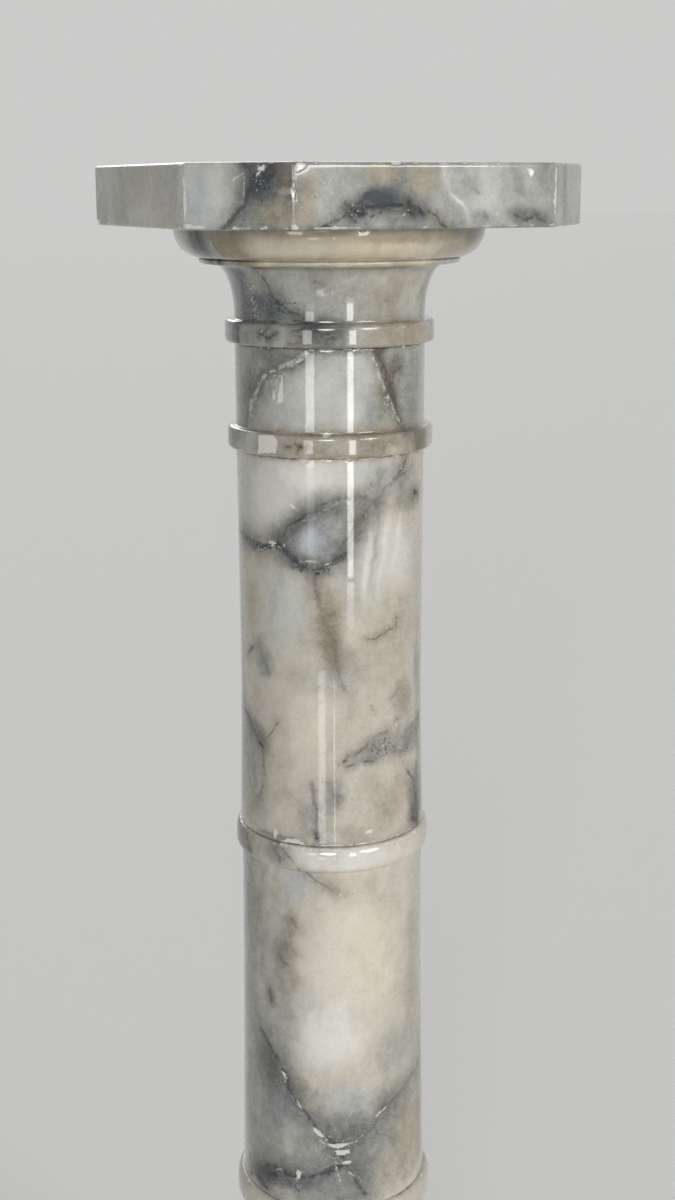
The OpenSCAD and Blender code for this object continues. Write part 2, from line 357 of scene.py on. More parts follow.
MARKS["capital"] = {
    "base": STONE,
    "clouds": [
        # The echinus and its fillet
        (WARM, 1.0, (10, 63), 190, 34), (HONEY, 0.9, (6, 61), 150, 26), (WHITE, 0.35, (-14, 60), 80, 10),
        (WHITE, 0.3, (-14, 66), 60, 7), (SAND, 0.5, (34, 65), 90, 5, 1), (TAN, 0.3, (56, 60), 60, 6, -1),
        (OLIVE, 0.25, (6, 69), 80, 4), (PALE, 0.7, (-72, 62), 20, 28), (TAN, 0.9, (-38, 61), 30, 30),
        (NAVY, 0.75, (-56, 62), 22, 34), (OLIVE, 0.5, (64, 66), 24, 10), (SAND, 0.7, (80, 62), 30, 30),
        # The cavetto
        (STONE, 0.8, (-6, 36), 60, 34), (SAND, 0.6, (40, 34), 60, 36), (CREAM, 0.4, (34, 42), 70, 12),
        (BLUE, 0.95, (-62, 36), 34, 50), (NAVY, 0.4, (-62, 30), 18, 44),
        (BLUE, 0.85, (-46, 24), 46, 22, 8), (BLUE, 0.7, (-28, 20), 40, 9), (OLIVE, 0.5, (70, 30), 16, 34),
        # The ring band
        (MOSS, 0.8, (-74, 7), 16, 20), (BLUE, 0.8, (-60, 7), 12, 20), (GREY, 0.8, (-46, 7), 20, 20),
        (SLATE, 0.7, (-32, 8), 20, 14), (SLATE, 0.95, (-4, 8), 38, 22), (SAND, 0.9, (42, 7), 70, 24),
    ],
    "veins": [
        (NAVY, 0.9, 3.6, 4, [(-53, 51), (-54, 60), (-53, 72)]),
        (NAVY, 0.8, 2.4, 3, [(-60, 53), (-58, 68)]), (UMBER, 0.5, 1.6, 3, [(-44, 54), (-46, 66)]),
        (NAVY, 0.6, 2.2, 6, [(-40, 48), (-36, 38), (-33, 30), (-24, 22), (-15, 18)]),
        # These two level lines are painted shade, with some dirt, in the crease over the ring band.
        (BLACK, 0.7, 1.2, 2.5, [(-75, 15.6), (-40, 15.8), (-6, 15.6)]),
        (UMBER, 0.45, 0.9, 1.5, [(-6, 15.6), (30, 15.4), (75, 15.6)]),
        (NAVY, 0.8, 3.4, 3, [(-59, 14), (-58, 1)]), (BLACK, 0.6, 2, 3, [(-40, 9), (-34, 6), (-29, 9)]),
        (NAVY, 0.7, 2.2, 4, [(-20, 10), (-12, 12), (-4, 9), (6, 11)]),
        (OLIVE, 0.6, 2, 3, [(-22, 3), (-8, 5)]), (OLIVE, 0.5, 1.6, 3, [(-8, 40), (-3, 39)]),
    ],
    "lines": [
        (CHALK, 0.7, 0.8, [(-40, 42), (-36, 47)]), (CHALK, 0.8, 1, [(-4, 32)]),
        (CHALK, 0.7, 0.9, [(37, 21)]), (CHALK, 0.7, 0.9, [(35, 59)]),
        (CHALK, 0.6, 0.6, [(36, 12), (43, 12)]), (CHALK, 0.7, 0.8, [(-47, 60), (-46, 66)]),
        (CREAM, 0.6, 1.2, [(-30, 50.6), (10, 50.8), (60, 50.6)]),
    ],
    "chips": [
        ((-37, 72), 5, 2.4, 0.6), ((-24, 72), 6, 2.4, 0.6), ((2, 72), 10, 2.4, 0.7),
        ((12, 72), 4, 2, 0.5), ((18, 72), 5, 2.4, 0.6), ((25, 72), 3, 2, 0.5), ((-37, 0), 3, 2, 0.6),
        ((-25, 0), 4, 2, 0.6), ((12, 0), 4, 2, 0.5), ((48, 0), 4, 2, 0.5),
    ],
    "sprays": [
        ("light", 0.9, (-50, 32), 18, 30), ("light", 0.9, (-48, 20), 24, 12),
        ("light", 0.7, (-44, 62), 10, 18), ("dark", 1.0, (-30, 23), 44, 16),
        ("light", 0.6, (-30, 20), 30, 10), ("light", 0.8, (-36, 8), 20, 10),
        ("dark", 0.9, (-36, 8), 24, 12), ("dark", 0.9, (-6, 8), 40, 14), ("dark", 0.7, (-56, 62), 20, 24),
    ],
    "worn": [0.3, 71.6],
}
MARKS["neck_drum"] = {
    "base": STONE,
    "clouds": [
        (GREY, 0.9, (-68, 42), 36, 80), (SLATE, 0.8, (-58, 40), 22, 40, -30),
        (BLUE, 0.6, (-34, 62), 40, 12, -8), (PALE, 0.9, (-16, 34), 40, 54), (PALE, 0.8, (8, 40), 36, 70),
        (LILAC, 0.55, (25, 28), 10, 26), (MOSS, 0.75, (33, 34), 14, 44, 10),
        (OLIVE, 0.6, (40, 46), 18, 44, -14), (UMBER, 0.55, (28, 65), 14, 9),
        (GREY, 0.9, (58, 42), 26, 60), (STONE, 0.8, (74, 40), 16, 60), (SLATE, 0.5, (10, 66), 36, 7),
        # The ring band
        (BLUE, 0.8, (-72, 7), 22, 24), (SAND, 0.95, (10, 7), 150, 26), (PALE, 0.5, (-50, 8), 14, 20),
        (STONE, 0.6, (6, 8), 50, 12), (MOSS, 0.55, (25, 8), 16, 10), (OLIVE, 0.75, (60, 7), 18, 24),
        (SAND, 0.8, (78, 7), 18, 22),
    ],
    "veins": [
        (SLATE, 1.0, 6, 5, [(-8, 67), (-17, 61), (-24, 58), (-36, 53), (-42, 49), (-46, 44), (-52, 36),
            (-58, 25), (-62, 15)]),
        (NAVY, 1.0, 2.6, 4, [(-14, 64), (-22, 59.4), (-34, 54.4), (-44, 47.6), (-50, 38)]),
        (UMBER, 0.9, 4.6, 4, [(27, 67), (30, 60), (34, 50), (38, 40), (42, 28), (48, 16)]),
        (UMBER, 1.0, 2.4, 3, [(29, 62), (33, 54), (35, 47), (38, 40)]),
        (UMBER, 0.6, 2.6, 4, [(40, 51), (46, 55)]), (UMBER, 0.65, 1.8, 3, [(36, 40), (42, 30), (47, 18)]),
        (BLACK, 0.8, 2, 2, [(-12, 67), (-10, 66)]),
        # The level line round the top is painted shade, with some dirt, in the seam under the capital's
        # ring band.
        (UMBER, 0.6, 1.2, 1.5, [(-70, 67), (0, 67), (70, 67)]), (SLATE, 0.6, 1.6, 3, [(5, 66), (20, 65)]),
        (BLACK, 0.9, 1.6, 1, [(-24, 8), (-22, 7)]),
        (BLACK, 0.95, 1.3, 0.8, [(-19, 9), (-16, 7), (-12, 8)]),
        (BLACK, 0.95, 1.2, 0.8, [(-18, 4), (-16, 9), (-14, 4), (-13, 9)]),
        (OLIVE, 0.7, 2.4, 4, [(54, 13), (58, 6), (62, 1)]),
        (MOSS, 0.7, 1.8, 3, [(18, 10), (27, 7), (34, 10)]),
        # Painted shade, with some dirt, in the crease over the ring band.
        (UMBER, 0.5, 1, 1.5, [(-70, 15.4), (0, 15.4), (70, 15.4)]),
    ],
    "lines": [
        (PALE, 0.8, 2.6, [(-13, 66), (-17, 61.5), (-22, 58.6), (-30, 55.6), (-36, 53), (-41, 49.6),
            (-45, 46), (-49, 39), (-54, 32), (-56, 18)]),
        (PALE, 0.85, 2, [(24, 63), (27, 58), (29, 52), (32, 45), (35, 38), (38, 32), (41, 27), (44, 22),
            (48, 17)]),
        (CHALK, 0.8, 1, [(-17, 60), (-23, 58.6)]), (CHALK, 0.8, 1.2, [(-33, 53.4), (-37, 52)]),
        (CHALK, 0.7, 0.9, [(34, 42), (36, 37)]), (CHALK, 0.7, 0.9, [(41, 27), (44, 22)]),
        (WHITE, 0.7, 0.7, [(-57, 14), (-57, 10)]), (CHALK, 0.8, 1.2, [(-20, 3)]),
        (CHALK, 0.7, 0.6, [(10, 62), (17, 62)]), (CHALK, 0.7, 0.8, [(2, 66)]),
        (CHALK, 0.7, 0.8, [(42, 65)]),
    ],
    "chips": [
        ((-10, 67), 5, 3, 0.8), ((16, 67), 4, 2.4, 0.6), ((48, 67), 4, 2, 0.5), ((-20, 0), 5, 2, 0.5),
        ((8, 0), 6, 2, 0.5), ((-2, 14.6), 4, 2, 0.5), ((30, 0), 4, 1.8, 0.5),
    ],
    "flakes": [
        [(-43, 1.5), (-30.5, 3), (-29.5, 11), (-32, 14), (-42, 13.5)],
        [(-32.4, 33), (-28, 33.6), (-27.6, 40), (-28.8, 51)], [(-35.5, 35), (-33.6, 35.4), (-34.6, 43)],
    ],
    "sprays": [
        ("light", 0.8, (-38, 50), 44, 12), ("light", 0.7, (34, 42), 12, 50),
        ("light", 0.5, (-50, 36), 14, 26), ("dark", 0.8, (36, 44), 14, 50),
        ("dark", 0.8, (-45, 46), 34, 28), ("dark", 0.5, (10, 65), 50, 6),
    ],
    "worn": [0.3, 67.2],
}
MARKS["upper_drum"] = {
    "base": CREAM,
    "clouds": [
        (PALE, 0.9, (-44, 232), 74, 60), (WHITE, 0.8, (-36, 230), 44, 40),
        (WHITE, 0.9, (-14, 242), 52, 22), (WHITE, 0.5, (14, 243), 20, 18), (PALE, 0.7, (20, 246), 50, 20),
        (GREY, 0.6, (38, 240), 46, 22, 14), (MOSS, 0.7, (54, 226), 34, 22),
        (SLATE, 0.5, (-66, 199), 40, 18), (GREY, 0.95, (-3, 208), 72, 46, 14),
        (SLATE, 0.7, (-20, 214), 34, 14, 32), (LILAC, 0.7, (-8, 206), 40, 26, 10),
        (ICE, 0.9, (-12, 205), 21, 18, 20), (PALE, 0.55, (8, 211), 22, 12, 20),
        (OLIVE, 0.7, (19, 214), 22, 30, -16), (SLATE, 0.55, (4, 224), 30, 9, 8),
        (SLATE, 0.6, (-12, 188), 40, 12, -6), (WHITE, 0.5, (40, 188), 40, 50),
        (PALE, 0.7, (26, 186), 22, 60), (WHITE, 0.7, (22, 186), 5, 46, -8),
        (WHITE, 0.7, (33, 192), 6, 56, -10), (WHITE, 0.6, (44, 200), 5, 46, -14),
        (SAND, 0.4, (28, 200), 4, 40, -10), (PALE, 0.9, (-30, 160), 40, 60),
        (STONE, 0.5, (8, 172), 20, 50), (SAND, 0.6, (-58, 158), 22, 40),
        (SAND, 0.8, (-2, 148), 18, 66, 6), (MOSS, 0.7, (-4, 150), 11, 60, 6),
        (PINK, 0.6, (48, 146), 60, 44), (MOSS, 0.4, (6, 126), 40, 22), (GREY, 0.5, (-78, 150), 14, 130),
        (GREY, 0.8, (-46, 119), 16, 24), (GREY, 0.4, (0, 112), 60, 26), (PINK, 0.4, (40, 118), 50, 30),
        (GREY, 0.85, (-66, 48), 34, 66), (MOSS, 0.4, (-62, 20), 40, 30),
        (SLATE, 0.6, (-56, 72), 24, 16, -30), (PINK, 0.7, (-36, 42), 30, 40),
        (IVORY, 0.7, (-14, 84), 30, 50), (SAND, 0.7, (50, 95), 22, 24), (GREY, 0.5, (34, 64), 52, 24, 10),
        (BLUE, 0.3, (26, 60), 24, 12, 20), (SLATE, 0.5, (58, 64), 26, 20), (SAND, 0.5, (34, 30), 46, 40),
        (GREY, 0.7, (2, 34), 16, 22), (GREY, 0.55, (-12, 18), 24, 34), (BLUE, 0.3, (-10, 20), 6, 36),
        (MOSS, 0.4, (8, 8), 60, 14), (UMBER, 0.4, (71, 100), 15, 70), (UMBER, 0.5, (71, 45), 15, 66),
        (SLATE, 0.5, (-76, 66), 18, 120), (OLIVE, 0.6, (66, 22), 22, 50), (UMBER, 0.6, (68, 10), 20, 26),
        (UMBER, 0.5, (68, 70), 14, 20),
    ],
    "veins": [
        # Round the lens under the head, and away from it to both sides
        (SLATE, 0.85, 3.6, 7, [(-31, 203), (-28, 211), (-20, 217), (-12, 223), (-5, 227), (2, 230),
            (10, 231), (20, 230), (28, 226)]),
        (NAVY, 0.9, 2, 5, [(-30, 205), (-26, 212), (-18, 217), (-10, 224), (0, 229)]),
        (NAVY, 0.75, 3.4, 6, [(-33, 199), (-28, 195), (-22, 190), (-16, 186), (-8, 184), (-3, 187),
            (3, 190), (9, 196)]),
        (BLACK, 1.0, 2.2, 3, [(-22, 190), (-14, 185), (-8, 183), (-3, 187)]),
        (BLACK, 0.9, 2, 3, [(1, 190), (8, 195)]),
        (UMBER, 0.5, 2, 6, [(8, 202), (14, 212), (22, 222), (27, 227)]),
        (NAVY, 1.0, 4.6, 8, [(-33, 199), (-45, 196), (-56, 197), (-66, 200), (-78, 201)]),
        (SLATE, 0.7, 2.6, 8, [(28, 228), (35, 236), (42, 240), (50, 242), (58, 246)]),
        (UMBER, 0.7, 1.8, 4, [(45, 242), (52, 252)]), (BLACK, 1.0, 5, 5, [(62, 229), (66, 228)]),
        # Down from the lens
        (OLIVE, 0.45, 3, 8, [(-10, 183), (-9, 172), (-7, 160), (-4, 150), (0, 142), (3, 132), (4, 122)]),
        (UMBER, 0.7, 1.4, 3, [(-10, 180), (-9, 168)]),
        (UMBER, 0.35, 2.4, 6, [(0, 144), (3, 134), (3, 124)]),
        (UMBER, 0.7, 1.2, 3.5, [(22, 139), (28, 138), (34, 141), (43, 145), (44, 150)]),
        (BLACK, 0.7, 2.2, 5, [(-50, 132)]), (NAVY, 0.7, 3, 5, [(-58, 127), (-64, 122)]),
        (SLATE, 0.5, 3.4, 5, [(-50, 128), (-46, 122), (-43, 114)]), (BLACK, 0.8, 1.8, 2, [(-42, 114)]),
        (BLACK, 1.0, 3.2, 7, [(-74, 84), (-64, 78), (-58, 72), (-52, 67), (-48, 63)]),
        (SLATE, 0.8, 2.2, 5, [(-48, 63), (-46, 50), (-47, 38), (-50, 26)]),
        (SLATE, 0.7, 2.2, 5, [(-48, 65), (-38, 76), (-35, 81)]), (BLACK, 0.8, 1.6, 1, [(-47, 49)]),
        (RUST, 0.4, 1.4, 3, [(25, 95), (27, 90)]), (UMBER, 0.7, 1.6, 3, [(45, 82)]),
        (BLACK, 0.55, 1.8, 3, [(9, 54), (14, 56)]), (BLACK, 0.5, 1.8, 3, [(19, 57), (26, 56)]),
        (SLATE, 0.5, 2, 4, [(20, 66), (26, 73), (36, 75)]), (NAVY, 0.7, 1.8, 2.5, [(7, 58), (10, 62)]),
        (UMBER, 0.5, 1.6, 3, [(14, 62), (22, 68)]), (SLATE, 0.6, 2, 5, [(42, 60), (52, 58), (60, 66)]),
        (BLACK, 0.6, 1.4, 1.5, [(47, 58)]), (SLATE, 0.6, 2, 3, [(-13, 44), (-10, 26), (-9, 6)]),
        (NAVY, 0.9, 2.4, 2.5, [(-10, 9), (-9, 5)]),
        (UMBER, 0.5, 1.6, 3, [(-60, 1), (-30, 1.6), (10, 0.8), (60, 1)]),
        (OLIVE, 0.5, 2.6, 4, [(-50, 4), (-24, 3)]), (NAVY, 0.6, 1.8, 3, [(-3, 44)]),
        (SLATE, 0.6, 1.8, 4, [(1, 36), (4, 31)]), (BLACK, 1.0, 5, 5, [(60, 9), (68, 3)]),
        (BLACK, 0.75, 3.2, 6, [(56, 42), (62, 34), (66, 22), (68, 8)]),
        # Painted shade, with some dirt, in the seam under the neck's ring band.
        (UMBER, 0.6, 1.2, 1.5, [(-70, 254.8), (0, 254.8), (70, 254.8)]),
        (SLATE, 0.5, 1.4, 2, [(8, 106), (4, 121)]), (SLATE, 0.5, 1.4, 3, [(46, 103), (40, 96)]),
    ],
    "lines": [
        (CHALK, 0.85, 1, [(-38, 198), (-33, 198)]), (CHALK, 0.8, 0.8, [(-48, 194), (-40, 197)]),
        (PALE, 0.8, 1, [(-18, 190), (-8, 190)]),
        (CHALK, 0.8, 0.9, [(-10, 184), (-6, 184), (-3, 188), (1, 190)]), (CHALK, 0.9, 1.5, [(-29, 199)]),
        (CHALK, 0.9, 0.9, [(-26, 227), (-22, 224)]),
        (LILAC, 0.8, 1, [(-16, 216), (-10, 218), (-2, 224), (4, 227)]),
        (CHALK, 0.8, 0.9, [(-34, 1.2), (0, 0.8), (30, 1.2), (58, 1)]), (CHALK, 0.8, 1.2, [(47, 246)]),
        (WHITE, 0.6, 1.4, [(34, 210), (35, 199)]), (CHALK, 0.8, 1.4, [(-50, 66)]),
        (CHALK, 0.8, 1.5, [(44, 78)]), (CHALK, 0.8, 1.2, [(33, 66)]),
    ],
    "chips": [
        ((-37, 5), 4, 9, 0.5), ((-24, 1), 11, 5, 0.6), ((0, 0), 14, 2.2, 0.6), ((40, 0), 14, 2.4, 0.6),
        ((55, 0), 8, 2, 0.6), ((-15, 255.5), 6, 4, 0.6), ((12, 255.5), 6, 2.2, 0.5),
        ((44, 255.5), 5, 3, 0.6), ((18, 0), 8, 2.4, 0.5),
    ],
    "flakes": [
        [(-41, 200), (-37, 198.6), (-34, 200.2), (-38, 201)],
        [(20, 8.4), (25, 7), (25.6, 10.4), (22, 10)],
    ],
    "sprays": [
        ("dark", 1.0, (-12, 187), 34, 12), ("dark", 0.7, (-24, 208), 20, 24),
        ("dark", 0.9, (32, 64), 46, 24), ("dark", 0.8, (47, 98), 18, 16), ("dark", 0.6, (6, 112), 56, 30),
        ("dark", 0.5, (0, 45), 60, 50), ("dark", 0.8, (58, 60), 26, 24),
        ("light", 0.8, (-42, 197), 34, 8), ("light", 0.7, (-14, 187), 26, 9),
        ("light", 0.5, (-50, 66), 20, 12), ("dark", 0.6, (30, 139), 36, 12),
        ("dark", 0.8, (64, 20), 20, 36),
    ],
    "worn": [0.3, 255.2],
}
MARKS["middle_drum"] = {
    "base": CREAM,
    "clouds": [
        # The ring band and just under it
        (SLATE, 0.75, (-70, 256), 40, 30), (UMBER, 0.9, (-78, 256), 24, 26),
        (SLATE, 0.5, (-34, 258), 22, 18), (IVORY, 0.9, (20, 256), 110, 26),
        (WHITE, 0.8, (6, 256), 80, 16), (ICE, 0.7, (-22, 236), 26, 26), (SAND, 0.5, (-38, 230), 9, 32),
        (GREY, 0.8, (-66, 176), 44, 190), (STONE, 0.7, (-40, 150), 34, 160),
        (MOSS, 0.4, (-58, 200), 22, 80), (MOSS, 0.5, (-33, 185), 18, 30),
        (UMBER, 0.18, (-26, 208), 18, 16), (SAND, 0.4, (-30, 168), 24, 20),
        (IVORY, 0.9, (16, 182), 70, 120), (WHITE, 0.35, (12, 182), 60, 90),
        (HONEY, 0.35, (24, 186), 50, 80), (PALE, 0.5, (-14, 152), 26, 22),
        (WHITE, 0.9, (-5, 129), 54, 50), (UMBER, 0.35, (-42, 152), 9, 16),
        (SAND, 0.5, (62, 150), 22, 130), (STONE, 0.7, (44, 112), 40, 40),
        # The grey foot, under the two arms of the V
        (GREY, 0.95, (-50, 60), 70, 150), (GREY, 0.95, (0, 36), 120, 96), (GREY, 0.7, (40, 66), 60, 40),
        (SLATE, 0.8, (-46, 100), 24, 44, 16), (SLATE, 0.6, (-24, 84), 24, 26, -40),
        (LILAC, 0.6, (-36, 66), 40, 34), (ICE, 0.5, (12, 80), 30, 30), (BLUE, 0.35, (10, 62), 40, 26),
        (SLATE, 0.5, (20, 28), 16, 40), (SAND, 0.8, (60, 38), 50, 60), (OLIVE, 0.5, (72, 70), 16, 120),
        (PINK, 0.5, (36, 20), 26, 34), (STONE, 0.7, (-40, 46), 30, 22),
        (SLATE, 0.8, (-40, 18), 60, 20, 6), (NAVY, 0.6, (-52, 12), 24, 18, 10),
        (LILAC, 0.5, (-14, 12), 40, 20),
    ],
    "veins": [
        (UMBER, 0.5, 3.6, 6, [(-62, 264), (-56, 252)]), (SLATE, 0.7, 3, 5, [(-38, 264), (-32, 254)]),
        (SLATE, 0.75, 1.6, 5, [(-30, 262), (-22, 252), (-18, 246), (-10, 242), (-4, 237), (0, 234)]),
        (SAND, 0.5, 3, 7, [(-4, 238), (8, 231)]),
        (UMBER, 0.7, 1.4, 5, [(-27, 201), (-27, 193), (-25, 189)]),
        (UMBER, 0.7, 1.6, 5, [(-26, 212), (-22, 206)]),
        (UMBER, 0.65, 1.8, 6, [(-36, 186), (-32, 179), (-28, 178), (-27, 174), (-26, 169)]),
        (SLATE, 0.6, 2, 4, [(-27, 160)]), (UMBER, 0.6, 2.2, 3, [(-27, 141)]),
        (OLIVE, 0.5, 4, 7, [(-68, 222), (-66, 196)]), (UMBER, 0.7, 1.8, 4, [(-43, 156), (-41, 147)]),
        # The two arms that meet in a V
        (NAVY, 0.7, 3.6, 10, [(-52, 124), (-45, 117), (-40, 110), (-34, 102), (-31, 97), (-29, 90),
            (-26, 81), (-20, 75), (-15, 70), (-11, 62), (-6, 56), (0, 51), (6, 46)]),
        (SLATE, 0.7, 4.4, 9, [(5, 46), (12, 52), (20, 56), (30, 65), (40, 74), (48, 79), (60, 84),
            (76, 89)]),
        (UMBER, 0.7, 3, 7, [(38, 73), (48, 79), (60, 84)]),
        (SLATE, 0.6, 2, 5, [(25, 53), (35, 50), (42, 42)]),
        (NAVY, 0.6, 2.6, 6, [(4, 46), (8, 34), (14, 22), (20, 10)]), (BLACK, 0.85, 2.8, 3, [(-31, 97)]),
        (NAVY, 0.8, 4.4, 7, [(-66, 4), (-58, 10), (-50, 17), (-45, 22), (-38, 24), (-30, 23), (-22, 22),
            (-15, 24), (-5, 28), (4, 34)]),
        (BLACK, 0.9, 2.4, 3, [(-46, 16), (-38, 18)]), (BLACK, 0.9, 5, 5, [(-58, 10), (-46, 5)]),
        (SLATE, 0.6, 1.6, 5, [(-20, 20), (-8, 14), (6, 8)]), (BLACK, 0.6, 1.6, 3, [(30, 72), (32, 70)]),
    ],
    "lines": [
        # A painted highlight along the ring band's top edge.
        (CHALK, 0.7, 1.1, [(-36, 263.4), (0, 263.6), (60, 263.4)]),
        (CHALK, 0.7, 0.9, [(42, 262), (43, 253)]), (CHALK, 0.6, 0.9, [(48, 262), (49, 254)]),
        (CHALK, 0.6, 0.9, [(64, 262), (65, 253)]), (CHALK, 0.9, 1.2, [(5, 232)]),
        (CHALK, 0.8, 1, [(35, 198)]), (CHALK, 0.8, 1, [(46, 192)]), (CHALK, 0.7, 0.8, [(8, 160)]),
        (CHALK, 0.8, 0.9, [(45, 125)]), (CHALK, 0.8, 0.9, [(54, 120)]), (CHALK, 0.8, 0.9, [(47, 113)]),
        (CHALK, 0.7, 0.8, [(12, 108)]), (CHALK, 0.9, 0.9, [(-33, 98), (-30, 96), (-31, 92)]),
        (CHALK, 0.85, 0.9, [(-27, 84), (-25, 79), (-20, 75)]),
        (CHALK, 0.9, 1.4, [(-12, 61), (-9, 57), (-5, 54)]),
        (CHALK, 0.9, 1, [(-8, 52), (-3, 50), (3, 48), (14, 51)]), (CHALK, 0.8, 0.9, [(2, 32), (4, 22)]),
        (CHALK, 0.8, 0.9, [(10, 28), (18, 20)]), (CHALK, 0.9, 1, [(28, 67), (34, 71)]),
        (CHALK, 0.7, 0.8, [(38, 76), (44, 79)]), (PALE, 0.7, 0.9, [(12, 50), (18, 55)]),
        (CHALK, 0.85, 1, [(-38, 23), (-34, 25)]), (CHALK, 0.85, 1.1, [(-24, 20), (-20, 27)]),
    ],
    "chips": [
        ((-30, 265), 5, 2.4, 0.5), ((40, 0), 5, 2.4, 0.5), ((-22, 24), 3, 5, 0.4), ((8, 265), 6, 2, 0.5),
        ((60, 264), 5, 2.4, 0.5),
    ],
    "flakes": [
        [(-4, 49.6), (3, 46.8), (9.5, 49.8), (3, 50.4)],
        [(1, 45.6), (2.5, 41.6), (10.5, 42.8), (9.5, 45)],
        [(5, 35.2), (9, 34.2), (12.5, 36.2), (7, 37.2)],
        [(-12, 62.4), (-10.5, 57.6), (-3.8, 54), (-8, 59.4)], [(-34, 99), (-31.4, 93), (-30.6, 97.4)],
        [(-24, 82), (-21, 75.6), (-19.6, 76)],
    ],
    "sprays": [
        ("light", 0.8, (0, 46), 44, 34), ("dark", 0.8, (-38, 96), 34, 46),
        ("dark", 0.8, (22, 58), 60, 30), ("dark", 0.9, (-34, 16), 70, 22),
        ("light", 0.7, (-30, 22), 44, 10), ("dark", 0.4, (-30, 185), 20, 50),
        ("dark", 0.4, (-50, 252), 60, 26), ("dark", 0.5, (-8, 60), 40, 40),
    ],
    "worn": [0.3, 264.6],
}
MARKS["lower_drum"] = {
    "base": CREAM,
    "clouds": [
        (WHITE, 0.6, (0, 248), 120, 20), (PALE, 0.7, (-50, 200), 60, 70), (PINK, 0.5, (40, 170), 60, 90),
        (WHITE, 0.6, (0, 130), 70, 110), (LILAC, 0.6, (-40, 90), 60, 50, 20),
        (GREY, 0.5, (60, 60), 60, 60), (TAN, 0.4, (10, 40), 70, 30, -10), (PINK, 0.5, (150, 180), 80, 90),
        (SLATE, 0.5, (-150, 130), 70, 60, 30),
    ],
    "veins": [
        (SLATE, 0.6, 3, 6, [(-80, 226), (-60, 208), (-36, 200), (-22, 176), (-4, 166), (14, 140),
            (40, 132), (70, 112)]),
        (OLIVE, 0.5, 2.4, 5, [(-36, 200), (-30, 160), (-40, 120), (-34, 80), (-10, 62), (20, 56)]),
        (NAVY, 0.45, 2.4, 6, [(20, 56), (44, 40), (76, 34)]), (SLATE, 0.5, 2.6, 3, [(44, 247)]),
    ],
    "lines": [(CHALK, 0.7, 0.8, [(-22, 178), (-14, 170)]), (CHALK, 0.7, 0.8, [(36, 132), (42, 130)])],
    "chips": [
        ((-20, 258), 5, 2, 0.5), ((30, 258), 5, 2, 0.5), ((-50, 0), 7, 3, 0.6), ((25, 0), 6, 3, 0.6),
    ],
    "sprays": [("dark", 1.0, (-10, 160), 60, 50), ("light", 0.8, (0, 130), 80, 180)],
    "worn": [0.3, 257.6],
}
MARKS["base_moulding"] = {
    "base": IVORY,
    "clouds": [
        (WARM, 0.6, (10, 12), 150, 30), (PALE, 0.7, (-60, 14), 70, 40), (SLATE, 0.6, (50, 30), 50, 30),
        (LILAC, 0.5, (-20, 46), 60, 20), (WARM, 0.6, (160, 10), 120, 30),
    ],
    "veins": [
        (SLATE, 0.7, 3, 4, [(-70, 2), (-54, 16), (-40, 34), (-30, 56)]),
        (OLIVE, 0.6, 3, 4, [(30, 0), (40, 18), (62, 34), (76, 56)]),
    ],
    "lines": [(CHALK, 0.7, 0.8, [(-50, 20), (-46, 27)])],
    "chips": [
        ((-30, 1), 9, 5, 1.0), ((25, 0), 7, 4, 0.8), ((110, 1), 9, 5, 1.0), ((-140, 1), 8, 4, 0.9),
    ],
    "sprays": [("dark", 0.8, (-45, 26), 20, 40), ("dark", 0.8, (50, 24), 40, 30)],
    "worn": [0.3, 57.7],
}
MARKS["plinth"] = {
    "base": IVORY,
    "clouds": [
        (GREY, 0.7, (-60, 20), 90, 60), (WARM, 0.5, (20, 18), 90, 60), (PALE, 0.8, (100, 18), 90, 60),
        (SLATE, 0.6, (-150, 16), 70, 50, 30), (ICE, 0.6, (-240, 16), 90, 60),
        (TAN, 0.4, (180, 14), 80, 40),
    ],
    "veins": [
        (SLATE, 0.75, 3.4, 5, [(-96, 60), (-84, 37), (-70, 22), (-48, 14), (-30, 0)]),
        (NAVY, 0.6, 2.4, 4, [(40, 70), (52, 37), (60, 20), (84, 8)]),
        (OLIVE, 0.6, 3, 5, [(-250, 50), (-230, 30), (-200, 16), (-170, 0)]),
    ],
    "lines": [(CHALK, 0.7, 0.9, [(-72, 24), (-62, 18)])],
    "chips": [
        ((-90, 36), 8, 6, 1.3), ((60, 37), 10, 4, 1.1), ((90, 2), 8, 6, 1.3), ((-30, 1), 8, 4, 1.0),
        ((-164, 30), 5, 9, 1.0), ((200, 37), 8, 5, 1.2), ((300, 1), 9, 6, 1.2),
    ],
    "sprays": [("dark", 1.0, (-60, 20), 40, 20), ("light", 0.6, (0, 18), 160, 30)],
    "worn": [0.4, 36.6],
}


# ---------------------------------------------------------------- noise and shares
LATTICE = 64      # the noise repeats after this many cells


def soft_step(value, low, high):
    """0 where value is at low or beyond it, 1 at high, smooth between; low may be the larger."""
    share = np.clip((value - low) / (high - low), 0.0, 1.0)
    return share * share * (3.0 - 2.0 * share)


def noise(points, cell, seed):
    """Smooth noise from -1 to 1 at points, with lumps about one cell across, in mm."""
    table = np.random.default_rng(seed).uniform(-1.0, 1.0, (LATTICE,) * 3)
    place = points / cell
    low = np.floor(place).astype(int)
    share = place - low
    share = share * share * (3.0 - 2.0 * share)
    total = np.zeros(len(points))
    for corner in np.ndindex(2, 2, 2):
        index = (low + corner) % LATTICE
        weight = np.prod(np.where(corner, share, 1.0 - share), axis=1)
        total += weight * table[index[:, 0], index[:, 1], index[:, 2]]
    return total


def layered_noise(points, cell, seed, layers=4):
    """Noise with finer and fainter lumps laid over the coarse ones."""
    total = sum(noise(points, cell / 2 ** i, seed + i) * 0.55 ** i for i in range(layers))
    return total / sum(0.55 ** i for i in range(layers))


# ---------------------------------------------------------------- the stones' surfaces
EASE = 0.45            # mm, how softly an arris is worn round
EASE_STEP = 0.2
CAP_REACH = 8.0        # mm that the fine mesh runs in over a stone's hidden end faces
FINE_REACH = 92.0      # degrees to each side of the front where the mesh is finest


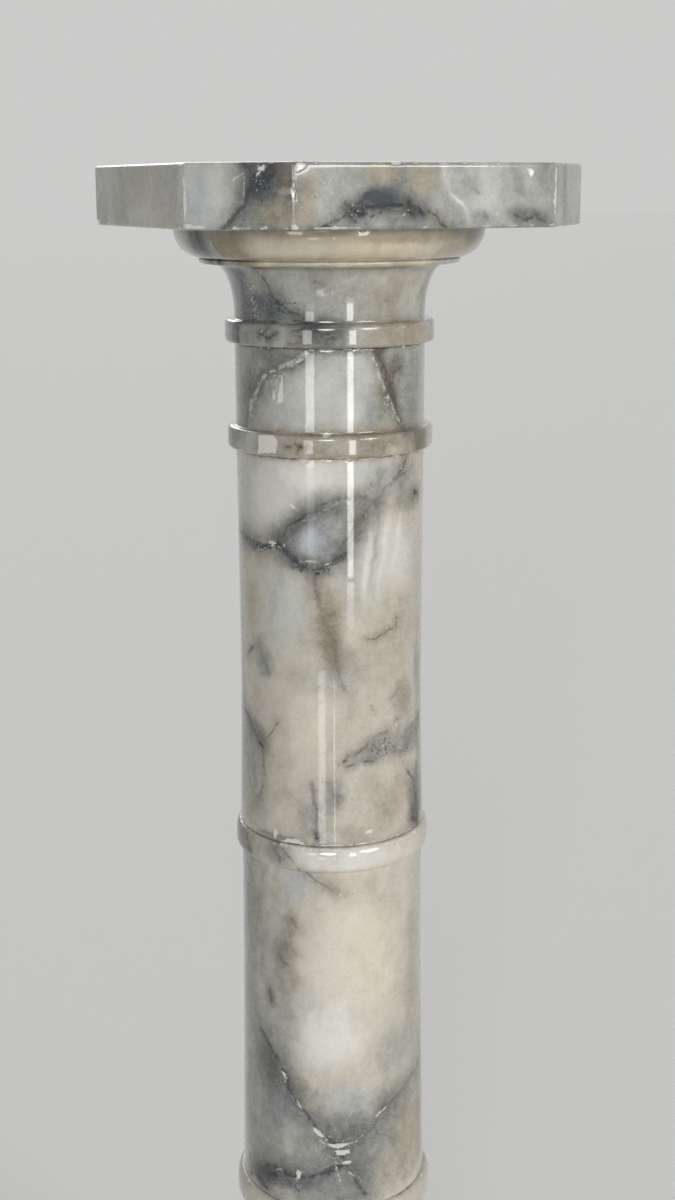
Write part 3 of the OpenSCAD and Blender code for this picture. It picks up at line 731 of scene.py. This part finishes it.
def even_steps(line, step):
    """The same line of points, about step apart."""
    length = np.concatenate([[0.0], np.cumsum(np.hypot(*np.diff(line, axis=0).T))])
    at = np.linspace(0.0, length[-1], max(int(round(length[-1] / step)), 2) + 1)
    return np.stack([np.interp(at, length, line[:, i]) for i in range(2)], axis=1)


def eased(line, closed=False):
    """The line with its corners worn round."""
    fine = even_steps(line, EASE_STEP)
    reach = int(4 * EASE / EASE_STEP)
    weights = np.exp(-0.5 * (np.arange(-reach, reach + 1) * EASE_STEP / EASE) ** 2)
    weights /= weights.sum()
    if closed:
        wrapped = np.concatenate([fine[-reach - 1:-1], fine, fine[1:reach + 1]])
    else:
        wrapped = np.concatenate([np.repeat(fine[:1], reach, 0), fine, np.repeat(fine[-1:], reach, 0)])
    return np.stack([np.convolve(wrapped[:, i], weights, "valid") for i in range(2)], axis=1)


def cad_points(node):
    """The CAD node's vertices, in mm."""
    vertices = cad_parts[node].data.vertices
    flat = np.empty(len(vertices) * 3, np.float32)
    vertices.foreach_get("co", flat)
    return flat.reshape(-1, 3).astype(float) / MM


def turned_outline(node):
    """The turned node's outline, as (radius, z) in mm from its underside up to its top."""
    points = cad_points(node)
    rings = np.unique(np.round([points[:, 2], np.hypot(points[:, 0], points[:, 1])], 1), axis=1).T
    rings = rings[rings[:, 1] > CAP_REACH * 2]
    outline = []
    for z in np.unique(rings[:, 0]):
        radii = rings[rings[:, 0] == z, 1]
        if outline:
            radii = radii[np.argsort(np.abs(radii - outline[-1][0]))]
        outline += [(radius, z) for radius in radii]
    first, last = outline[0], outline[-1]
    ends = [(first[0] - CAP_REACH, first[1])], [(last[0] - CAP_REACH, last[1])]
    return np.array(ends[0] + outline + ends[1])


def turned_surface(node, fine, coarse):
    """A turned stone as a grid of points, finer in front. fine and coarse are in mm."""
    outline = even_steps(eased(turned_outline(node)), fine)
    widest = outline[:, 0].max()
    front = np.arange(-FINE_REACH, FINE_REACH, math.degrees(fine / widest))
    back = np.arange(FINE_REACH, 360.0 - FINE_REACH, math.degrees(coarse / widest))
    bearing = np.concatenate([front, back])
    angle = np.radians(FRONT + bearing)
    radius, z = outline[:, :1], outline[:, 1:]
    grid = np.stack([radius * np.cos(angle), radius * np.sin(angle), z + 0.0 * angle], axis=2)
    foot = cad_points(node)[:, 2].min()
    height = np.broadcast_to(z - foot, grid.shape[:2])
    stretch = np.broadcast_to(np.radians(1.0) * radius, grid.shape[:2])
    return grid, np.broadcast_to(bearing, grid.shape[:2]), height, stretch, 360.0


def slab_surface(node, fine, coarse):
    """A square slab with canted corners as a grid of points that runs in to the middle of both faces."""
    points = cad_points(node)
    low, high = points.min(0), points.max(0)
    middle, half = (low + high)[:2] / 2, (high - low)[0] / 2
    side = points[points[:, 0] > high[0] - 0.05]
    flat = np.abs(side[:, 1] - middle[1]).max()
    arris = side[:, 2].min() - low[2]
    corners = [(flat, -half), (half, -flat), (half, flat), (flat, half), (-flat, half), (-half, flat),
               (-half, -flat), (-flat, -half)]
    edge = eased(np.array([(0, -half)] + corners + [(0, -half)], float), closed=True)
    edge = even_steps(edge, fine)[:-1]
    tall = high[2] - low[2]
    deep = half - CAP_REACH
    side_line = np.array([(2 * CAP_REACH, 0), (arris, 0), (0, arris), (0, tall - arris),
                          (arris, tall), (2 * CAP_REACH, tall)])
    side_line = even_steps(eased(side_line), fine * 0.9)
    inner = np.arange(side_line[0, 0] + coarse, deep, coarse)
    under = np.stack([inner[::-1], 0 * inner], axis=1)
    over = np.stack([inner, 0 * inner + tall], axis=1)
    line = np.concatenate([under, side_line, over])
    inset, z = line[:, :1], line[:, 1:]
    share = 1.0 - inset / half
    grid = np.stack([middle[0] + share * edge[:, 0], middle[1] + share * edge[:, 1],
                     low[2] + z + 0.0 * edge[:, 0]], axis=2)
    around = np.hypot(*np.diff(np.concatenate([edge, edge[:1]]), axis=0).T)
    along = np.concatenate([[0.0], np.cumsum(around)[:-1]])
    height = np.where(z > tall / 2, z + inset, z - inset)
    height = np.where((z > arris) & (z < tall - arris), z, height)
    shape = grid.shape[:2]
    return (grid, np.broadcast_to(along, shape), np.broadcast_to(height, shape),
            np.broadcast_to(share, shape), around.sum())


def closed_mesh(name, grid):
    """A mesh of the grid's rows, joined round, with a fan over each end."""
    rows, columns = grid.shape[:2]
    index = np.arange(rows * columns).reshape(rows, columns)
    beside = np.roll(index, -1, axis=1)
    quads = np.stack([index[:-1], beside[:-1], beside[1:], index[1:]], axis=2).reshape(-1, 4)
    ends = np.array([grid[0].mean(0), grid[-1].mean(0)])
    foot, head = rows * columns, rows * columns + 1
    under = np.stack([beside[0], index[0], np.full(columns, foot)], axis=1)
    over = np.stack([index[-1], beside[-1], np.full(columns, head)], axis=1)
    mesh = bpy.data.meshes.new(name)
    points = np.concatenate([grid.reshape(-1, 3), ends]) * MM
    mesh.from_pydata(points, [], quads.tolist() + under.tolist() + over.tolist())
    mesh.polygons.foreach_set("use_smooth", np.ones(len(mesh.polygons), bool))
    mesh.update()
    return mesh


# ---------------------------------------------------------------- marks on a surface
# How far apart the lumps lie, in mm, of the noises that bend and roughen the marks
BROAD_CELL, FINE_CELL, RAG_CELL, WIDTH_CELL, CRUMB_CELL, FRAY_CELL = 26.0, 7.0, 11.0, 6.0, 4.0, 9.0
FRAY_PULL = np.array([1.0, 1.0, 0.6])    # the frayed wisps run longer up the stone than round it
FRAY_BEND = 5.0                          # mm
FAR = 1e9                                # mm, farther than any mark reaches


class Surface:
    """A stone's points with their places, and the noise that bends its marks out of true."""

    def __init__(self, mesh, along, height, stretch, period, seed):
        flat = np.empty(len(mesh.vertices) * 3, np.float32)
        mesh.vertices.foreach_get("co", flat)
        self.points = flat.reshape(-1, 3).astype(float) / MM
        mesh.vertices.foreach_get("normal", flat)
        self.normals = flat.reshape(-1, 3).astype(float)
        ends = [0, -1]        # the two end faces' middle points take their neighbours' places
        self.along = np.concatenate([along.ravel(), along.ravel()[ends]])
        self.height = np.concatenate([height.ravel(), height.ravel()[ends]])
        self.stretch = np.concatenate([stretch.ravel(), stretch.ravel()[ends]])
        self.period, self.seed = period, seed
        self.broad = [layered_noise(self.points, BROAD_CELL, seed + 10 * i) for i in (1, 2)]
        self.fine = [layered_noise(self.points, FINE_CELL, seed + 10 * i, 3) for i in (3, 4)]
        self.ragged = layered_noise(self.points, RAG_CELL, seed + 50, 4)
        self.width = noise(self.points, WIDTH_CELL, seed + 60)
        self.crumb = layered_noise(self.points, CRUMB_CELL, seed + 65, 2)
        bends = np.stack([self.fine[0], self.fine[1], self.width], axis=1)
        pulled = self.points * FRAY_PULL + FRAY_BEND * bends
        self.frayed = 1.0 - 4.0 * np.abs(layered_noise(pulled, FRAY_CELL, seed + 68, 3))

    def across(self, along):
        """mm from a place to each point, along the surface to the viewer's right."""
        half = self.period / 2
        return ((self.along - along + half) % self.period - half) * self.stretch

    def patch(self, place, across, up, turn=0.0, bend=4.0, rag=0.30, soft=0.62, crumb=0.0,
              fray=0.0):
        """Share from 0 to 1 of a ragged oval patch at each point."""
        x = self.across(place[0]) + bend * self.broad[0] + 0.25 * bend * self.fine[0]
        y = self.height - place[1] + bend * self.broad[1] + 0.25 * bend * self.fine[1]
        angle = math.radians(turn)
        level = (x * math.cos(angle) + y * math.sin(angle)) / (across / 2)
        upright = (y * math.cos(angle) - x * math.sin(angle)) / (up / 2)
        away = np.hypot(level, upright) + rag * self.ragged + crumb * self.crumb + fray * self.frayed
        return soft_step(away, 1.0 + soft * 0.6, 1.0 - soft)

    def plate(self, corners):
        """Share from 0 to 1 of a straight-edged flake, its corners given anticlockwise."""
        start = corners[0][0]
        x = self.across(start) + 0.5 * self.fine[0]
        y = self.height + 0.5 * self.fine[1]
        spots = [((along - start) * self.stretch, height) for along, height in corners]
        outside = np.full(len(x), -FAR)
        for (x0, y0), (x1, y1) in zip(spots, spots[1:] + spots[:1]):
            run_x, run_y = x1 - x0, y1 - y0
            outside = np.maximum(outside, ((x - x0) * run_y - (y - y0) * run_x) / np.hypot(run_x, run_y))
        return soft_step(outside + 0.35 * self.crumb, 0.45, -0.35)

    def trace(self, route, bend):
        """Distance in mm from each point to a route, below 0 on its left side."""
        start = route[0][0]
        x = self.across(start) + bend * self.fine[0]
        y = self.height + bend * self.fine[1]
        points = [((along - start) * self.stretch, height) for along, height in route]
        if len(points) == 1:
            return np.hypot(x, y - points[0][1])
        nearest = np.full(len(x), FAR)
        for (x0, y0), (x1, y1) in zip(points[:-1], points[1:]):
            run_x, run_y = x1 - x0, y1 - y0
            share = np.clip(((x - x0) * run_x + (y - y0) * run_y) / (run_x ** 2 + run_y ** 2), 0.0, 1.0)
            away = np.hypot(x - x0 - share * run_x, y - y0 - share * run_y)
            side = np.sign(run_x * (y - y0) - run_y * (x - x0))
            nearest = np.where(away < np.abs(nearest), away * np.where(side == 0, 1.0, side), nearest)
        return nearest


def blend(tint, tone, share):
    """The tints with a share of a tone laid over them."""
    return tint + (tone - tint) * share[:, None]


DARK_TONE = 0.3       # veins darker than this have dark specks along them
MARK_REACH = 3.0      # how many half widths past a mark's middle its own colour is kept
UNMARKED = 9.0        # the distance, in half widths, that points far from every mark are given
WILD_FROM, WILD_TO = 62.0, 104.0    # degrees from the front where the stone's hidden, freer side begins
BIG_CELL, MIDDLE_CELL, SMALL_CELL = 46.0, 17.0, 13.0    # mm between the clouds that no mark places
CLOUD_FRAY = 0.10
WILD_CELL = 105.0        # mm between the hidden side's veins, about
WILD_PATCH_CELL = 60.0   # mm between the patches that have such veins
WILD_BEND = 10.0         # mm that they wander
WILD_HALF_WIDTH = 0.010  # their half width, as a share of the noise that they follow
WILD_VEIN = 0.7          # their strength
STRETCH = np.array([1.0, 1.0, 0.55])    # small clouds and hidden veins run longer up than round the stone
VEIN_BEND, LINE_BEND = 1.6, 0.7         # mm


def no_marks(count):
    """Every point's nearest mark, before there is any: how far it is, and its tone and strength."""
    return np.full(count, UNMARKED), np.zeros((count, 4))


def add_mark(mark, tone, strength, distance):
    """Keeps the nearest mark at each point: its distance in half widths, its tone and its strength."""
    reach, tint = mark
    near = (np.abs(distance) < np.abs(reach)) & (np.abs(distance) < MARK_REACH)
    reach[near] = distance[near]
    tint[near, :3] = tone
    tint[near, 3] = strength if np.isscalar(strength) else strength[near]


def clouded(surface, marks, wildness, middle):
    """The stone's body colour at each point: free clouds on its hidden side, then the placed ones."""
    tint = np.tile(marks["base"], (len(surface.points), 1))
    big = layered_noise(surface.points, BIG_CELL, surface.seed + 70)
    tint = blend(tint, GREY, wildness * soft_step(big, -0.05, 0.50) * 0.65)
    tint = blend(tint, PINK, wildness * soft_step(big, -0.02, -0.50) * 0.5)
    tint = blend(tint, WHITE, wildness * soft_step(middle, 0.00, 0.60) * 0.5)
    tint = blend(tint, LILAC, wildness * soft_step(middle - 0.5 * big, 0.10, 0.70) * 0.45)
    for tone, strength, place, *size_and_turn in marks["clouds"]:
        tint = blend(tint, tone, strength * surface.patch(place, *size_and_turn, fray=CLOUD_FRAY))
    small = layered_noise(surface.points * STRETCH, SMALL_CELL, surface.seed + 75)
    tint = blend(tint, OLIVE, 0.17 * soft_step(small, 0.00, 0.65))
    return blend(tint, WHITE, 0.30 * soft_step(small, -0.05, -0.60))


def painted(surface, marks, wildness):
    """Every colour field of a stone, by attribute name."""
    count = len(surface.points)
    middle = layered_noise(surface.points, MIDDLE_CELL, surface.seed + 80)
    tint = clouded(surface, marks, wildness, middle)
    sparse = 0.10 + 0.34 * soft_step(middle, -0.05, 0.30)
    specks = {"dark": sparse, "light": 0.5 * sparse}

    # Veins: free ones on the hidden side, then the placed ones with a halo in the body colour; the placed
    # ones include painted shade with some dirt along creases and seams
    vein = no_marks(count)
    bends = np.stack([surface.broad[0], surface.broad[1], surface.ragged], axis=1)
    bent = surface.points * STRETCH + WILD_BEND * bends
    ridge = np.abs(layered_noise(bent, WILD_CELL, surface.seed + 90, 3)) / WILD_HALF_WIDTH
    patches = layered_noise(surface.points, WILD_PATCH_CELL, surface.seed + 95, 2)
    where = wildness * soft_step(patches, -0.20, 0.30)
    add_mark(vein, NAVY, WILD_VEIN * where, ridge)
    tint = blend(tint, SLATE, WILD_VEIN * where * soft_step(ridge, 9.0, 0.5))
    for tone, strength, width, halo, route in marks["veins"]:
        distance = np.abs(surface.trace(route, VEIN_BEND))
        spread = strength * (0.55 + 0.45 * surface.ragged) * np.exp(-(distance / (width / 2 + halo)) ** 2)
        tint = blend(tint, tone, 0.75 * np.clip(spread, 0.0, 1.0))
        add_mark(vein, tone, strength, distance / (width / 2 * (1.0 + 0.85 * surface.width)))
        if tone.max() < DARK_TONE:
            near = 0.8 * strength * np.exp(-(distance / (width + 1.5)) ** 2)
            specks["dark"] = np.maximum(specks["dark"], near)

    # Lines: cracks and calcite threads, and one painted highlight along a band's top edge
    line = no_marks(count)
    for tone, strength, width, route in marks["lines"]:
        distance = surface.trace(route, LINE_BEND)
        add_mark(line, tone, strength, distance / (width / 2 * (1.0 + 0.8 * surface.width)))
        near = strength * np.exp(-(distance / (width + 0.7)) ** 2)
        specks["light"] = np.maximum(specks["light"], near)

    for kind, strength, place, across, up in marks["sprays"]:
        specks[kind] = np.maximum(specks[kind], strength * surface.patch(place, across, up))
    specks["dark"] = np.maximum(specks["dark"], 0.6 * wildness * soft_step(ridge, 9.0, 1.0))
    return {"tint": tint, "vein": vein[0], "vein_tint": vein[1], "line": line[0], "line_tint": line[1],
            "dark_specks": specks["dark"], "light_specks": specks["light"]}


WAVE_DEPTH = 0.10      # mm, the hand-worn waviness of the whole surface
FLAKE_DEPTH = 0.35
NICK_DEPTH = 0.45
NICK_REACH = 0.9       # mm to each side of a worn arris
NICK_CELL = 3.2


def worn_depth(surface, marks):
    """How far each point is worn in, in mm, and how much of it shows a fresh break."""
    depth = WAVE_DEPTH * (1.0 + surface.broad[0]) * 0.5
    fresh = np.zeros(len(surface.points))
    for place, across, up, deep in marks["chips"]:
        share = surface.patch(place, across, up, bend=0.8, rag=0.3, soft=0.22, crumb=0.9)
        depth = np.maximum(depth, deep * share * (0.8 + 0.3 * surface.width))
        fresh = np.maximum(fresh, share)
    for corners in marks.get("flakes", ()):
        share = surface.plate(corners)
        depth = np.maximum(depth, FLAKE_DEPTH * share)
        fresh = np.maximum(fresh, share)
    nicks = soft_step(noise(surface.points, NICK_CELL, surface.seed + 99), 0.36, 0.66)
    for height in marks["worn"]:
        near = nicks * np.exp(-((surface.height - height) / NICK_REACH) ** 2)
        depth = np.maximum(depth, NICK_DEPTH * near)
        fresh = np.maximum(fresh, near)
    return depth, fresh


def store(mesh, name, values):
    """Writes a field of numbers or colours to the mesh's points."""
    if values.ndim == 1:
        mesh.attributes.new(name, "FLOAT", "POINT").data.foreach_set("value", values.astype(np.float32))
        return
    if values.shape[1] == 3:
        values = np.concatenate([values, np.ones((len(values), 1))], axis=1)
    layer = mesh.attributes.new(name, "FLOAT_COLOR", "POINT")
    layer.data.foreach_set("color", values.astype(np.float32).ravel())


# ---------------------------------------------------------------- alabaster
NOISES = {
    # name: (lumps per metre, layers, roughness, distortion if any)
    "mottle": (130.0, 5.0, 0.62),
    "crystal": (520.0, 3.0, 0.65),
    "grain": (1900.0, 2.0, 0.60),
    "wisps": (75.0, 6.0, 0.68, 1.4),
    "turning": (1.0, 2.0, 0.70),
    "vein_rag": (420.0, 5.0, 0.70),
    "vein_breaks": (170.0, 4.0, 0.65),
    "dark_specks": (460.0, 5.0, 0.78),
    "light_specks": (620.0, 4.0, 0.75),
    "line_rag": (1100.0, 3.0, 0.70),
    "line_gaps": (260.0, 4.0, 0.70),
    "crumble": (700.0, 4.0, 0.70),
    "polish": (60.0, 4.0, 0.60),
}
LATHE_SCALE = (8.0, 8.0, 900.0)    # lathe lines lie close together up the stone and run long round it
POLISH = {
    "Coat Weight": 0.9, "Coat Roughness": 0.06, "IOR": 1.5, "Specular IOR Level": 0.15,
    "Subsurface Weight": 0.25, "Subsurface Radius": (1.0, 0.85, 0.62), "Subsurface Scale": 0.004,
}


class Stone(Nodes):
    """The nodes of the alabaster, which take their marks from the mesh's fields."""

    def __init__(self, tree):
        super().__init__(tree)
        self.place = self.add("ShaderNodeTexCoord").outputs["Object"]
        self.crystal = self.lumps("crystal")
        self.grain = self.lumps("grain")
        lathe = self.add("ShaderNodeMapping")
        lathe.inputs["Scale"].default_value = LATHE_SCALE
        self.join(self.place, lathe.inputs["Vector"])
        self.turning = self.noise(lathe.outputs["Vector"], *NOISES["turning"])

    def lumps(self, name):
        return self.noise(self.place, *NOISES[name])

    def field(self, name):
        """A number painted on the mesh."""
        return self.attribute(name).outputs["Fac"]

    def body(self):
        """The painted tint with clouding, wisps, crystal, grain and lathe lines, more where it is dark."""
        colour = self.attribute("tint").outputs["Color"]
        darkness = self.remap(self.brightness(colour), 0.52, 0.14)
        spread = self.remap(darkness, 0.0, 1.0, 0.035, 0.27)
        low, high = self.minus(1.0, spread), self.plus(1.0, spread)
        level = self.remap(self.lumps("mottle"), 0.30, 0.72, low, high)
        wisp_edge = self.math("ABSOLUTE", self.minus(self.lumps("wisps"), 0.5))
        wisp = self.remap(wisp_edge, 0.045, 0.0, smooth=True)
        wisp_depth = self.remap(darkness, 0.0, 1.0, 0.02, 0.26)
        level = self.times(level, self.minus(1.0, self.times(wisp, wisp_depth)))
        level = self.times(level, self.remap(self.crystal, 0.30, 0.70, 0.975, 1.025))
        level = self.times(level, self.remap(self.grain, 0.30, 0.70, 0.985, 1.015))
        level = self.times(level, self.remap(self.turning, 0.35, 0.65, 0.99, 1.01))
        grey = self.add("ShaderNodeCombineColor")
        for channel in grey.inputs:
            self.join(level, channel)
        return self.mix(1.0, colour, grey.outputs[0], "MULTIPLY")

    def veins(self, colour):
        """Ragged, broken veins, and the painted shade along creases and seams, over the colour, and how
        much of them shows.
        """
        tint = self.attribute("vein_tint")
        rag = self.remap(self.lumps("vein_rag"), 0.25, 0.75, -0.75, 0.75)
        share = self.remap(self.plus(self.field("vein"), rag), 1.30, 0.30, smooth=True)
        share = self.times(share, self.remap(self.lumps("vein_breaks"), 0.38, 0.50, 0.35, 1.0))
        share = self.times(share, tint.outputs["Alpha"])
        return self.mix(share, colour, tint.outputs["Color"]), share

    def specks(self, colour, kind, tone, strength, none, most, edge):
        """Loose specks over the colour, between none and most as the field says, and their share."""
        start = self.remap(self.field(kind), 0.0, 1.0, none, most)
        share = self.remap(self.minus(self.lumps(kind), start), 0.0, edge)
        return self.mix(self.times(share, strength), colour, (*tone, 1.0)), share

    def threads(self, colour):
        """Fine cracks, calcite threads and a painted highlight along a band's top edge over the colour,
        with gaps in them.
        """
        tint = self.attribute("line_tint")
        rag = self.remap(self.lumps("line_rag"), 0.25, 0.75, -0.8, 0.8)
        distance = self.math("ABSOLUTE", self.field("line"))
        share = self.remap(self.plus(distance, rag), 1.4, 0.6, smooth=True)
        share = self.times(share, self.remap(self.lumps("line_gaps"), 0.44, 0.56, 0.05, 0.9))
        share = self.times(share, tint.outputs["Alpha"])
        return self.mix(share, colour, tint.outputs["Color"])

    def polish(self, vein_share, fresh_share):
        """How rough the polish is: duller on crystals, veins and breaks."""
        rough = self.remap(self.lumps("polish"), 0.3, 0.7, 0.20, 0.34)
        rough = self.plus(rough, self.remap(self.crystal, 0.4, 0.8, 0.0, 0.05))
        rough = self.plus(rough, self.times(vein_share, 0.10))
        return self.plus(rough, self.times(fresh_share, 0.40))

    def relief(self, vein_share, dark_share, fresh_share, crumble):
        """Lathe lines, grain, pits in the veins and specks, and rough breaks, as a bumped normal."""
        height = self.plus(self.times(self.turning, 0.020), self.times(self.grain, 0.004))
        height = self.minus(height, self.times(vein_share, 0.030))
        height = self.minus(height, self.times(dark_share, 0.030))
        height = self.plus(height, self.times(fresh_share, self.times(crumble, 0.35)))
        bump = self.add("ShaderNodeBump")
        bump.inputs["Distance"].default_value = MM
        self.join(height, bump.inputs["Height"])
        return bump.outputs["Normal"]


def alabaster():
    """Polished, veined, faintly translucent stone."""
    material = bpy.data.materials.new("alabaster")
    material.use_nodes = True
    shader = material.node_tree.nodes["Principled BSDF"]
    stone = Stone(material.node_tree)
    colour, vein_share = stone.veins(stone.body())
    colour, dark_share = stone.specks(colour, "dark_specks", NAVY, 0.8, 0.74, 0.515, 0.035)
    colour = stone.specks(colour, "light_specks", CHALK, 0.9, 0.76, 0.55, 0.03)[0]
    colour = stone.threads(colour)
    crumble = stone.lumps("crumble")
    fresh_share = stone.remap(stone.plus(stone.field("fresh"), stone.minus(crumble, 0.5)), 0.30, 0.62)
    colour = stone.mix(stone.times(fresh_share, 0.75), colour, (*CHALK, 1.0))
    stone.join(colour, shader.inputs["Base Color"])
    stone.join(stone.polish(vein_share, fresh_share), shader.inputs["Roughness"])
    stone.join(stone.relief(vein_share, dark_share, fresh_share, crumble), shader.inputs["Normal"])
    for name, value in POLISH.items():
        shader.inputs[name].default_value = value
    return material


# ---------------------------------------------------------------- the stones
TURNED = {
    # name: (step between the points in front, step round the back, both in mm, material slot, seed)
    "capital": (0.95, 2.8, "capital_stone", 100),
    "neck_drum": (0.88, 2.8, "neck_stone", 200),
    "upper_drum": (0.88, 2.8, "upper_drum_stone", 300),
    "middle_drum": (0.92, 2.8, "middle_drum_stone", 400),
    "lower_drum": (1.4, 2.8, "lower_drum_stone", 500),
    "base_moulding": (1.5, 3.0, "base_stone", 600),
}
SLABS = {
    # name: (step between the points round the slab, step between the rows over it, slot, seed), in mm
    "abacus": (1.05, 8.0, "abacus_stone", 700),
    "plinth": (1.7, 7.0, "plinth_stone", 800),
}


def add_stone(node, grid_and_places, seed, material):
    """One stone: its mesh, its marks and wear, and its ties to the CAD node that it replaces."""
    grid, along, height, stretch, period = grid_and_places
    name = node + "_veined"
    mesh = closed_mesh(name, grid)
    surface = Surface(mesh, along, height, stretch, period, seed)
    turn = np.degrees(np.arctan2(surface.points[:, 1], surface.points[:, 0])) - FRONT
    off_front = np.abs((turn + 180.0) % 360.0 - 180.0)
    wildness = 0.15 + 0.85 * soft_step(off_front, WILD_FROM, WILD_TO)
    wildness = np.maximum(wildness, soft_step(np.abs(surface.normals[:, 2]), 0.80, 0.98))
    fields = painted(surface, MARKS[node], wildness)
    depth, fields["fresh"] = worn_depth(surface, MARKS[node])
    shaped = (surface.points - surface.normals * depth[:, None]) * MM
    mesh.vertices.foreach_set("co", shaped.astype(np.float32).ravel())
    for field, values in fields.items():
        store(mesh, field, values)
    mesh.materials.append(material)
    mesh.update()
    stone = link(bpy.data.objects.new(name, mesh))
    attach(stone, "root")
    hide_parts(node)


bpy.context.scene.view_settings.view_transform = "Standard"
add_camera()
add_world()
add_lights()
add_floor()
stone_material = alabaster()
for node, (fine, coarse, slot, seed) in TURNED.items():
    add_stone(node, turned_surface(node, fine, coarse), seed, stone_material)
for node, (fine, coarse, slot, seed) in SLABS.items():
    add_stone(node, slab_surface(node, fine, coarse), seed, stone_material)
